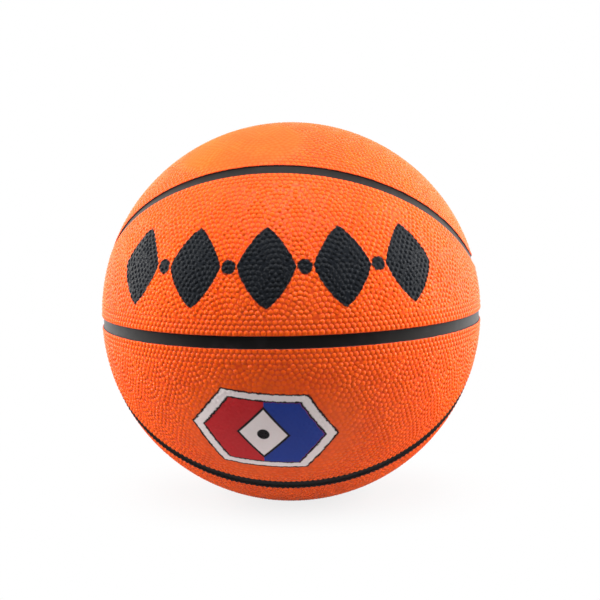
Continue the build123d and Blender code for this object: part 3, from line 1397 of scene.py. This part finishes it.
@dataclass
class Cover:
    """Eight pebbled panels with the prints on the front."""

    sizes: BallSizes = field(default_factory=BallSizes)
    row: LozengeRow = field(default_factory=LozengeRow)
    badge: Badge = field(default_factory=Badge)
    rubber: OrangeRubber = field(default_factory=OrangeRubber)
    badge_patch: SmoothPatch = SmoothPatch(
        bearing=-4.0, lift=-27.0, half_width=50 * MM, half_height=38 * MM, left=0.16
    )
    crown_patch: SmoothPatch = SmoothPatch(
        bearing=-26.0, lift=62.0, half_width=40 * MM, half_height=30 * MM, left=0.2, fade=0.15
    )
    lip_crease: float = 60.0

    def build(self) -> None:
        """Make the blanks, then every panel."""
        designs = {Print.NONE: None, Print.LOZENGES: self.row, Print.BADGE: self.badge}
        finishes = {kind: self.rubber.build(kind.value, design) for kind, design in designs.items()}
        prints = {Quarter.FRONT_UPPER: Print.LOZENGES, Quarter.FRONT_LOWER: Print.BADGE}
        blanks = {cut: PanelBlank(cut) for cut in Cut}
        for blank in blanks.values():
            blank.build()
        for quarter in Quarter:
            centre = Cut.CENTRE if quarter in prints else Cut.CENTRE_AT_VALVE
            kind = prints.get(quarter, Print.NONE)
            self.panel(quarter, blanks[centre], designs[kind], finishes[kind])
            self.panel(quarter, blanks[Cut.CROWN], None, finishes[Print.NONE])
        for blank in blanks.values():
            bpy.data.meshes.remove(blank.mesh)

    def pebbling(self, quarter: Quarter, cut: Cut, directions: Points) -> np.ndarray:
        """Share of the pebble height on one panel.

        Args:
            quarter: Place of the panel.
            cut: Shape of the panel.
            directions: Unit directions of its vertices.

        Returns:
            One share a vertex.
        """
        if quarter is Quarter.FRONT_LOWER and cut is Cut.CENTRE:
            return self.badge_patch.pebbling(directions, self.sizes.radius)
        if quarter is Quarter.FRONT_UPPER and cut is Cut.CROWN:
            return self.crown_patch.pebbling(directions, self.sizes.radius)
        return np.ones(len(directions))

    def panel(
        self, quarter: Quarter, blank: PanelBlank, design: Design, finish: bpy.types.Material
    ) -> None:
        """Shape one panel from its blank, write its attributes and put it in place.

        Args:
            quarter: Place of the panel.
            blank: Blank that it is shaped from.
            design: What is printed on it.
            finish: Its material.
        """
        signs = np.array(quarter.value)
        directions = blank.directions * signs
        pebbling = self.pebbling(quarter, blank.cut, directions)
        places, heights = blank.skin(pebbling)
        mesh = blank.mesh.copy()
        mesh.vertices.foreach_set("co", (places * signs).ravel())
        self.write(mesh, "dome", heights)
        self.write(mesh, "rim", np.where(blank.is_back, 0.0, blank.edge_distance / MM))
        self.write(mesh, "tone", blank.tone)
        self.write(mesh, "matte", 1 - pebbling if blank.cut is Cut.CROWN else np.zeros(len(pebbling)))
        if design is not None:
            flat = design.place(directions, self.sizes.radius)
            layer = mesh.attributes.new("print_place", "FLOAT_VECTOR", "POINT")
            layer.data.foreach_set("vector", np.column_stack([flat, np.zeros(len(flat))]).ravel())
        mesh.update()
        mesh.shade_smooth()
        mesh.set_sharp_from_angle(angle=math.radians(self.lip_crease))
        mesh.normals_split_custom_set_from_vertices(blank.normals(pebbling) * signs)
        name = f"{blank.cut.family}_cover_{quarter.label}"
        mesh.name = name
        add_piece(name, mesh, finish, f"{blank.cut.family}_panel_{quarter.label}", "ball")

    @staticmethod
    def write(mesh: bpy.types.Mesh, name: str, values: np.ndarray) -> None:
        """Store one number a vertex."""
        layer = mesh.attributes.new(name, "FLOAT", "POINT")
        layer.data.foreach_set("value", values.astype(np.float32))


@dataclass
class Ribs:
    """Black rubber strips on the floors of the channels."""

    sizes: BallSizes = field(default_factory=BallSizes)
    plan: ChannelPlan = field(default_factory=ChannelPlan)
    rubber: BlackRubber = field(default_factory=BlackRubber)
    shoulder_share: float = 0.8
    shoulder_rise: float = 0.16 * MM
    step: float = 2.2 * MM
    least_steps: int = 4
    ring_steps: int = 300
    end_spare: float = 4.0 * MM
    halvings: int = 40
    pad_rise: float = 0.08 * MM
    pad_overlap: float = 1.0 * MM
    pad_steps: int = 64
    pad_edge: tuple[Range, ...] = ((0.0, -0.1 * MM), (-0.25 * MM, 0.0))
    bead_radius: float = 4.5 * MM
    bead: tuple[Range, ...] = (
        (0.9 * MM, 0.0),
        (0.5 * MM, 0.12 * MM),
        (0.15 * MM, 0.1 * MM),
        (0.0, -0.05 * MM),
    )

    def build(self) -> None:
        """Make every rib and put it in place."""
        black = self.rubber.build("black_rubber")
        ends = {"upper": Quarter.FRONT_UPPER, "lower": Quarter.BACK_LOWER}
        sides = {
            "right_upper": Quarter.FRONT_UPPER,
            "left_upper": Quarter.BACK_UPPER,
            "left_lower": Quarter.FRONT_LOWER,
            "right_lower": Quarter.BACK_LOWER,
        }
        centre, loop, crown, side = self.centre(), self.loop(), self.crown(), self.side()
        self.place(centre, "middle_strip", "centre_rib", Quarter.FRONT_UPPER, black)
        for end, quarter in ends.items():
            self.place(loop, f"loop_strip_{end}", f"loop_rib_{end}", quarter, black)
            self.place(crown, f"crown_strip_{end}", f"crown_rib_{end}", quarter, black)
        for end, quarter in sides.items():
            self.place(side, f"side_strip_{end}", f"side_rib_{end}", quarter, black)
        for blank in (centre, loop, crown, side):
            bpy.data.meshes.remove(blank)

    @staticmethod
    def place(
        blank: bpy.types.Mesh, name: str, node: str, quarter: Quarter, black: bpy.types.Material
    ) -> None:
        """Turn a copy of a rib to its place and add it."""
        add_piece(name, turned_mesh(blank, name, quarter.value), black, node, "ball")

    def section(self) -> list[Range]:
        """Corners of a rib's section.

        Returns:
            Distance from the rib's middle and distance from the ball's centre, corner by corner.
        """
        half = self.sizes.half_rib
        top = self.sizes.rib_top_radius
        foot = self.sizes.panel_back_radius
        shoulder = half * self.shoulder_share
        crest = [(-half, top + self.shoulder_rise), (-shoulder, top), (0.0, top), (shoulder, top)]
        return crest + [(half, top + self.shoulder_rise), (half, foot), (0.0, foot), (-half, foot)]

    @staticmethod
    def ring(shape: bmesh.types.BMesh, corners: list[Points | Triple]) -> Ring:
        """Closed outline through corners.

        Args:
            shape: Shape that it is made in.
            corners: Its corners, in order.

        Returns:
            Its vertices and its edges.
        """
        verts = [shape.verts.new(corner) for corner in corners]
        return verts, [shape.edges.new((verts[i - 1], verts[i])) for i in range(len(verts))]

    def centre(self) -> bpy.types.Mesh:
        """Ring round the middle, with the pad that the valve's neck comes through.

        Returns:
            The mesh.
        """
        shape = bmesh.new()
        gap = math.asin((self.bead_radius + self.pad_overlap) / self.sizes.radius)
        corners = [(math.sqrt(radius**2 - across**2), 0.0, across) for across, radius in self.section()]
        verts, edges = self.ring(shape, corners)
        bmesh.ops.rotate(shape, cent=ORIGIN, matrix=Matrix.Rotation(math.pi / 2 + gap, 3, "Z"), verts=verts)
        spin(shape, verts + edges, (0, 0, 1), 2 * (math.pi - gap), self.ring_steps)
        self.close_ends(shape)
        top = self.sizes.rib_top_radius + self.pad_rise
        foot = self.sizes.panel_back_radius
        inner, outer = self.bead_radius, self.plan.pad_radius - self.sizes.rib_gap
        profile = [(inner, foot), (outer, foot)]
        profile += [(outer + across, top + rise) for across, rise in self.pad_edge]
        profile += [(inner + across, top + rise) for across, rise in self.bead]
        verts, edges = self.ring(shape, [(r, math.sqrt(h**2 - r**2), 0.0) for r, h in profile])
        spin(shape, verts + edges, (0, 1, 0), FULL_TURN, self.pad_steps)
        return finish_mesh(shape, "middle_strip_blank")

    def loop(self) -> bpy.types.Mesh:
        """Closed strip along the upper loop.

        Returns:
            The mesh.
        """
        radius = self.sizes.radius
        top = np.array([0.0, 0.0, 1.0])
        line = closed_line(lambda points: -self.plan.loop(points), top, radius, 0.0, self.step)
        directions = unit(line)
        slope = self.plan.loop_slope(line)
        slope -= directions * np.sum(slope * directions, axis=1, keepdims=True)
        steepness = np.linalg.norm(slope, axis=1)
        outwards = slope / steepness[:, None]
        rails = [
            great_circle_step(directions, outwards, across / (steepness * radius)) * height
            for across, height in self.section()
        ]
        shape = bmesh.new()
        verts, opening = self.ring(shape, [rail[0] for rail in rails])
        edges = opening
        for index in range(1, len(line)):
            verts, edges = self.extruded(shape, verts, edges)
            for vert, rail in zip(verts, rails):
                vert.co = rail[index]
        bmesh.ops.bridge_loops(shape, edges=edges + opening)
        return finish_mesh(shape, "loop_strip_blank")

    @staticmethod
    def extruded(
        shape: bmesh.types.BMesh, verts: list[bmesh.types.BMVert], edges: list[bmesh.types.BMEdge]
    ) -> Ring:
        """Extrude a closed outline once.

        Args:
            shape: Shape that the outline is in.
            verts: Its vertices.
            edges: Its edges.

        Returns:
            Vertices of the new outline, in the old ones' order, and its edges.
        """
        grown = bmesh.ops.extrude_edge_only(shape, edges=edges)["geom"]
        new = {vert for vert in grown if isinstance(vert, bmesh.types.BMVert)}
        carried = []
        for vert in verts:
            carried += [e.other_vert(vert) for e in vert.link_edges if e.other_vert(vert) in new]
        return carried, [shape.edges.get((carried[i - 1], carried[i])) for i in range(len(carried))]

    def arc(self, start: float, end: float) -> bmesh.types.BMesh:
        """Open strip in the upright channel.

        Args:
            start: Where it starts, as an angle from the top towards +X.
            end: Where it ends.

        Returns:
            The shape, open at both ends.
        """
        shape = bmesh.new()
        corners = [(0.0, across, math.sqrt(radius**2 - across**2)) for across, radius in self.section()]
        verts, edges = self.ring(shape, corners)
        bmesh.ops.rotate(shape, cent=ORIGIN, matrix=Matrix.Rotation(start, 3, "Y"), verts=verts)
        steps = max(self.least_steps, round((end - start) * self.sizes.radius / self.step))
        spin(shape, verts + edges, (0, 1, 0), end - start, steps)
        return shape

    def crossing(self, side: int, level: float) -> tuple[Vector, Vector]:
        """Where the upright channel meets the loop.

        Args:
            side: 1 for the +X side, -1 for the other.
            level: Distance outside the loop's centreline.

        Returns:
            The point, and the direction out of the loop there.
        """
        low, high = 0.0, math.pi / 2
        radius = self.sizes.radius
        for _ in range(self.halvings):
            middle = (low + high) / 2
            point = np.array([[side * math.sin(middle), 0.0, math.cos(middle)]]) * radius
            low, high = (middle, high) if self.plan.loop(point)[0] < level else (low, middle)
        return Vector(point[0]), Vector(self.plan.loop_slope(point)[0]).normalized()

    @staticmethod
    def close_ends(shape: bmesh.types.BMesh) -> None:
        """Fill every opening of a strip."""
        bmesh.ops.holes_fill(shape, edges=[e for e in shape.edges if e.is_boundary], sides=0)

    def trim(self, shape: bmesh.types.BMesh, point: Vector, away: Vector) -> None:
        """Cut off what lies beyond a plane and close the cut.

        Args:
            shape: Shape that is cut.
            point: Point of the plane.
            away: Direction of what is cut off.
        """
        geometry = shape.verts[:] + shape.edges[:] + shape.faces[:]
        bmesh.ops.bisect_plane(shape, geom=geometry, plane_co=point, plane_no=away, clear_outer=True)
        self.close_ends(shape)

    def crown(self) -> bpy.types.Mesh:
        """Strip over the top, between the two sides of the loop.

        Returns:
            The mesh.
        """
        ends = [self.crossing(side, -self.sizes.half_channel) for side in (-1, 1)]
        start, end = (math.atan2(point.x, point.z) for point, _ in ends)
        spare = self.end_spare / self.sizes.radius
        shape = self.arc(start - spare, end + spare)
        for point, away in ends:
            self.trim(shape, point, away)
        return finish_mesh(shape, "crown_strip_blank")

    def side(self) -> bpy.types.Mesh:
        """Short strip on the right, from the loop down to the middle rib.

        Returns:
            The mesh.
        """
        point, away = self.crossing(1, self.sizes.half_channel)
        spare = self.end_spare / self.sizes.radius
        shape = self.arc(math.atan2(point.x, point.z) - spare, math.pi / 2)
        self.trim(shape, point, -away)
        self.trim(shape, Vector((0, 0, self.sizes.half_channel)), Vector((0, 0, -1)))
        return finish_mesh(shape, "side_strip_blank")


@dataclass
class Valve:
    """Rubber boot through the back of the ball, and the plug that is pulled out to change it."""

    boot_rubber: PlainRubber = PlainRubber(ink(38, 37, 38), ink(52, 50, 49))
    plug_rubber: PlainRubber = PlainRubber(ink(48, 47, 47), ink(66, 63, 61), roughness=0.55)
    top: float = 119.66 * MM
    neck_radius: float = 4.4 * MM
    flange_radius: float = 13.0 * MM
    flange_face: float = 117.45 * MM
    flange_rim: float = 0.6 * MM
    flange_root: float = 2.0 * MM
    barrel_radius: float = 5.6 * MM
    barrel_depth: float = 21.0 * MM
    barrel_end_wall: float = 3.0 * MM
    air_port_radius: float = 1.2 * MM
    head_radius: float = 3.4 * MM
    head_height: float = 1.6 * MM
    shank_radius: float = 2.7 * MM
    plug_gap: float = 0.06 * MM
    plug_sink: float = 0.3 * MM
    plug_tip_gap: float = 0.6 * MM
    needle_radius: float = 1.0 * MM
    needle_length: float = 8.0 * MM
    mouth_radius: float = 1.7 * MM
    mouth_depth: float = 0.7 * MM
    rounding: float = 0.22 * MM
    rounding_parts: int = 4
    rounding_profile: float = 0.5
    weld: float = 0.001 * MM
    crease: float = 40.0
    steps: int = 72

    def build(self) -> None:
        """Make the boot and the plug and put them in place."""
        boot_finish = self.boot_rubber.build("valve_rubber")
        plug_finish = self.plug_rubber.build("plug_rubber")
        add_piece("valve_sleeve", self.boot(), boot_finish, "valve_boot", "ball")
        add_piece("valve_stopper", self.plug(), plug_finish, "valve_plug", "plug")

    @property
    def seat(self) -> float:
        """Height of the step that the plug's head sits on."""
        return self.top - self.plug_sink - self.head_height

    @property
    def socket_floor(self) -> float:
        """Height of the bottom of the plug's socket."""
        return self.top - self.barrel_depth + self.barrel_end_wall

    def face_height(self, radius: float) -> float:
        """Height of the flange's round face at a distance from the valve's axis."""
        return math.sqrt(self.flange_face**2 - radius**2)

    def turned(self, profile: Profile, closed: bool, name: str) -> bpy.types.Mesh:
        """Turned piece about the valve's axis.

        Args:
            profile: Radius, height and kind of each corner.
            closed: Whether the last corner joins the first.
            name: Name of the mesh.

        Returns:
            The closed mesh.
        """
        shape = bmesh.new()
        verts = [shape.verts.new((radius, height, 0.0)) for radius, height, _ in profile]
        pairs = list(zip(verts, verts[1:])) + ([(verts[-1], verts[0])] if closed else [])
        for pair in pairs:
            shape.edges.new(pair)
        bmesh.ops.bevel(
            shape,
            geom=[vert for vert, (_, _, corner) in zip(verts, profile) if corner is Corner.ROUND],
            offset=self.rounding,
            affect="VERTICES",
            segments=self.rounding_parts,
            profile=self.rounding_profile,
            material=-1,
        )
        spin(shape, shape.verts[:] + shape.edges[:], (0, 1, 0), FULL_TURN, self.steps)
        bmesh.ops.remove_doubles(shape, verts=shape.verts[:], dist=self.weld)
        return finish_mesh(shape, name, self.crease)

    def boot(self) -> bpy.types.Mesh:
        """Sleeve: flange under the bladder, neck out through the wall, barrel with the plug's socket.

        Returns:
            The mesh.
        """
        end = self.top - self.barrel_depth
        rim, root = self.face_height(self.flange_radius), self.face_height(self.neck_radius)
        middle_radius = (self.neck_radius + self.flange_radius) / 2
        shank_hole = self.shank_radius + self.plug_gap
        head_hole = self.head_radius + self.plug_gap
        profile = [
            (self.flange_radius, rim, Corner.SHARP),
            (self.flange_radius, rim - self.flange_rim, Corner.ROUND),
            (self.barrel_radius, root - self.flange_root, Corner.SHARP),
            (self.barrel_radius, end, Corner.ROUND),
            (self.air_port_radius, end, Corner.ROUND),
            (self.air_port_radius, self.socket_floor, Corner.SHARP),
            (shank_hole, self.socket_floor, Corner.SHARP),
            (shank_hole, self.seat, Corner.SHARP),
            (head_hole, self.seat, Corner.SHARP),
            (head_hole, self.top, Corner.ROUND),
            (self.neck_radius, self.top, Corner.ROUND),
            (self.neck_radius, root, Corner.SHARP),
            (middle_radius, self.face_height(middle_radius), Corner.SHARP),
        ]
        return self.turned(profile, True, "valve_sleeve")

    def plug(self) -> bpy.types.Mesh:
        """Headed stopper with a needle hole.

        Returns:
            The mesh.
        """
        top = self.top - self.plug_sink
        tip = self.socket_floor + self.plug_tip_gap
        mouth = top - self.mouth_depth
        profile = [
            (0.0, mouth - self.needle_length, Corner.SHARP),
            (self.needle_radius, mouth - self.needle_length, Corner.SHARP),
            (self.needle_radius, mouth, Corner.ROUND),
            (self.mouth_radius, top, Corner.ROUND),
            (self.head_radius, top, Corner.ROUND),
            (self.head_radius, self.seat, Corner.ROUND),
            (self.shank_radius, self.seat, Corner.SHARP),
            (self.shank_radius, tip, Corner.ROUND),
            (0.0, tip, Corner.SHARP),
        ]
        return self.turned(profile, False, "valve_stopper")


@dataclass
class Core:
    """Inner shells, which keep the frame's own meshes."""

    butyl: PlainRubber = PlainRubber(ink(40, 40, 42), ink(52, 52, 54), roughness=0.45)
    thread: WoundThread = WoundThread()
    rubber: PlainRubber = PlainRubber(ink(34, 34, 34), ink(44, 42, 40), roughness=0.7)

    def build(self) -> None:
        """Give the bladder, the winding and the carcass their finishes."""
        finishes = {
            "bladder": self.butyl.build("butyl_rubber"),
            "nylon_winding": self.thread.build("nylon_thread"),
            "carcass": self.rubber.build("carcass_rubber"),
        }
        for node, finish in finishes.items():
            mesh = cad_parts[node].data
            mesh.materials.clear()
            mesh.materials.append(finish)
            LOG.info("%s: new finish", node)


@dataclass(frozen=True)
class Lamp:
    """Square soft lamp that faces the ball and lights it without a mirror image, placed in degrees."""

    name: str
    bearing: float
    lift: float
    power: float
    size: float = 0.9
    distance: float = 1.1

    def build(self) -> None:
        """Hang the lamp."""
        ahead = Vector(towards(self.bearing, self.lift))
        data = bpy.data.lights.new(self.name, "AREA")
        data.shape = "SQUARE"
        data.size = self.size
        data.energy = self.power
        lamp = bpy.data.objects.new(self.name, data)
        lamp.location = ahead * self.distance
        lamp.rotation_euler = ahead.to_track_quat("Z", "Y").to_euler()
        lamp.visible_glossy = False
        bpy.context.scene.collection.objects.link(lamp)


@dataclass
class Studio:
    """White floor, soft light and the camera."""

    floor_radius: float = 9.0
    floor_gap: float = 0.3 * MM
    floor_sides: int = 128
    floor_level: Triple = (1.0, 1.0, 0.0)
    floor_noise: Noise = Noise(60.0)
    floor_grey: Range = (0.42, 0.44)
    dim_range: Range = (0.1, 0.28)
    dim_share: float = 0.12
    # Painted shadow: near the ball's contact the camera sees less white glow and more grey matt floor
    shadow_squeeze: Triple = (0.5, 1.0, 0.0)
    painted_shadow_range: Range = (0.015, 0.085)
    glow: Range = (0.8, 1.0)
    floor_shine: Range = (0.15, 0.7)
    # Painted shadow in reflections: the floor mirrored near the ball glows only faintly
    painted_shadow_shine: float = 0.15
    near_range: Range = (0.25, 0.05)
    front: Triple = (-0.03, -0.9995, 0.0)
    back_level: float = 1.4
    side_level: float = 0.65
    front_level: float = 0.03
    back_range: Range = (-0.6, 0.0)
    front_range: Range = (0.0, 0.75)
    tent_white: Colour = (1.0, 0.975, 0.9, 1.0)
    top_share: float = 0.4
    top_range: Range = (0.3, 0.85)
    overhead: Triple = (0.0, -0.259, 0.966)
    overhead_level: float = 0.58
    overhead_range: Range = (0.92, 0.975)
    lamps: tuple[Lamp, ...] = (
        Lamp("front_top", bearing=0.0, lift=72.0, power=16.0),
        Lamp("fill", bearing=0.0, lift=5.0, power=2.4),
        Lamp("left", bearing=-100.0, lift=20.0, power=33.0),
        Lamp("right", bearing=100.0, lift=20.0, power=31.0),
    )
    camera_place: Triple = (34.886 * MM, -535.119 * MM, 71.837 * MM)
    camera_ahead: Triple = (-0.06448, 0.98905, -0.13278)
    camera_up: Triple = (0.01400, 0.13394, 0.99089)
    sensor: float = 36.0
    lens: float = 49.66
    shift: Range = (0.0146, 0.0190)

    def build(self) -> None:
        """Set up the whole studio."""
        bpy.context.scene.view_settings.view_transform = "Standard"
        self.floor()
        self.world()
        for lamp in self.lamps:
            lamp.build()
        self.camera()

    def floor(self) -> None:
        """Round white floor that shows the ball's shadow, part real and part painted."""
        shape = bmesh.new()
        bmesh.ops.create_circle(shape, cap_ends=True, segments=self.floor_sides, radius=self.floor_radius)
        bmesh.ops.translate(shape, verts=shape.verts[:], vec=(0, 0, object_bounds()[0].z - self.floor_gap))
        mesh = finish_mesh(shape, "studio_floor")
        mesh.materials.append(self.floor_finish())
        floor = bpy.data.objects.new("studio_floor", mesh)
        bpy.context.scene.collection.objects.link(floor)
        floor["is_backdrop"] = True

    def floor_finish(self) -> bpy.types.Material:
        """Floor that glows white for the camera, mirrors a dim tent in the ball and is grey to the light;
        near the ball a shadow is painted into both the glow and the mirrored brightness.

        Returns:
            The finished material.
        """
        graph = NodeGraph.material("studio_floor")
        rays = graph.node("ShaderNodeLightPath").outputs
        # Part real, part painted shadow: near the ball the glow gives way to the grey matt floor, which
        # shows its real shadow but is darker even where lit
        shadow = graph.length(graph.vector("MULTIPLY", graph.place, self.shadow_squeeze))
        glow = graph.span(graph.step(shadow, *self.painted_shadow_range), *self.glow)
        seen = graph.times(rays["Is Camera Ray"], glow)
        for kind in ("Is Glossy Ray", "Is Transmission Ray"):
            seen = graph.most(seen, rays[kind])
        level = graph.vector("MULTIPLY", graph.place, self.floor_level)
        reach = graph.length(level)
        tent = self.tent(graph, graph.vector("NORMALIZE", level))
        # Painted shadow in reflections: the mirrored floor is dim near the ball and brightens outwards
        far = graph.times(tent, graph.step(reach, *self.floor_shine))
        near = graph.times(graph.step(reach, *self.near_range), self.painted_shadow_shine)
        strength = graph.mix(rays["Is Glossy Ray"], 1.0, graph.plus(far, near))
        ahead = graph.along(graph.place, self.front)
        dim = graph.span(graph.step(ahead, *self.dim_range), 1.0, self.dim_share)
        grey = graph.times(graph.span(graph.noise(self.floor_noise), *self.floor_grey), dim)
        paint = graph.node("ShaderNodeCombineColor", {0: grey, 1: grey, 2: grey}).outputs[0]
        matt = graph.node("ShaderNodeBsdfDiffuse", {"Color": paint}).outputs[0]
        light = graph.node("ShaderNodeEmission", {"Color": WHITE, "Strength": strength}).outputs[0]
        mixed = graph.node("ShaderNodeMixShader", {0: seen, 1: matt, 2: light}).outputs[0]
        graph.node("ShaderNodeOutputMaterial", {"Surface": mixed})
        return graph.owner

    def tent(self, graph: NodeGraph, direction: Socket) -> Socket:
        """Brightness of the white tent, which is darker where the photographer stands.

        Args:
            graph: Material or world that asks.
            direction: Direction that it looks in.

        Returns:
            The brightness in that direction.
        """
        front = graph.along(direction, self.front)
        beside = graph.times(graph.step(front, *self.back_range), self.side_level - self.back_level)
        before = graph.times(graph.step(front, *self.front_range), self.front_level - self.side_level)
        level = graph.plus(graph.plus(beside, before), self.back_level)
        high = graph.step(graph.height(direction), *self.top_range)
        level = graph.times(level, graph.span(high, 1.0, self.top_share))
        above = graph.along(direction, self.overhead)
        window = graph.times(graph.step(above, *self.overhead_range), self.overhead_level)
        return graph.plus(level, window)

    def world(self) -> None:
        """Tent that lights the ball, and plain white behind it for the camera."""
        graph = NodeGraph(bpy.data.worlds.new("studio"))
        bpy.context.scene.world = graph.owner
        seen = graph.node("ShaderNodeLightPath").outputs["Is Camera Ray"]
        level = graph.mix(seen, self.tent(graph, graph.direction), 1.0)
        tint = graph.blend(seen, self.tent_white, WHITE)
        white = graph.node("ShaderNodeBackground", {"Color": tint, "Strength": level})
        graph.node("ShaderNodeOutputWorld", {"Surface": white.outputs[0]})

    def camera(self) -> None:
        """Camera at the photograph's viewing angle."""
        data = bpy.data.cameras.new("camera")
        data.sensor_width = self.sensor
        data.lens = self.lens
        data.shift_x, data.shift_y = self.shift
        camera = bpy.data.objects.new("camera", data)
        ahead = Vector(self.camera_ahead).normalized()
        right = ahead.cross(Vector(self.camera_up)).normalized()
        up = right.cross(ahead)
        turn = Matrix((right, up, -ahead)).transposed().to_4x4()
        camera.matrix_world = Matrix.Translation(self.camera_place) @ turn
        bpy.context.scene.collection.objects.link(camera)
        bpy.context.scene.camera = camera


def main() -> None:
    """Build every sub-assembly, then the studio."""
    logging.basicConfig(level=logging.INFO, format="%(name)s %(message)s")
    Core().build()
    Ribs().build()
    Valve().build()
    Cover().build()
    Studio().build()


if __name__ == "__main__":
    main()
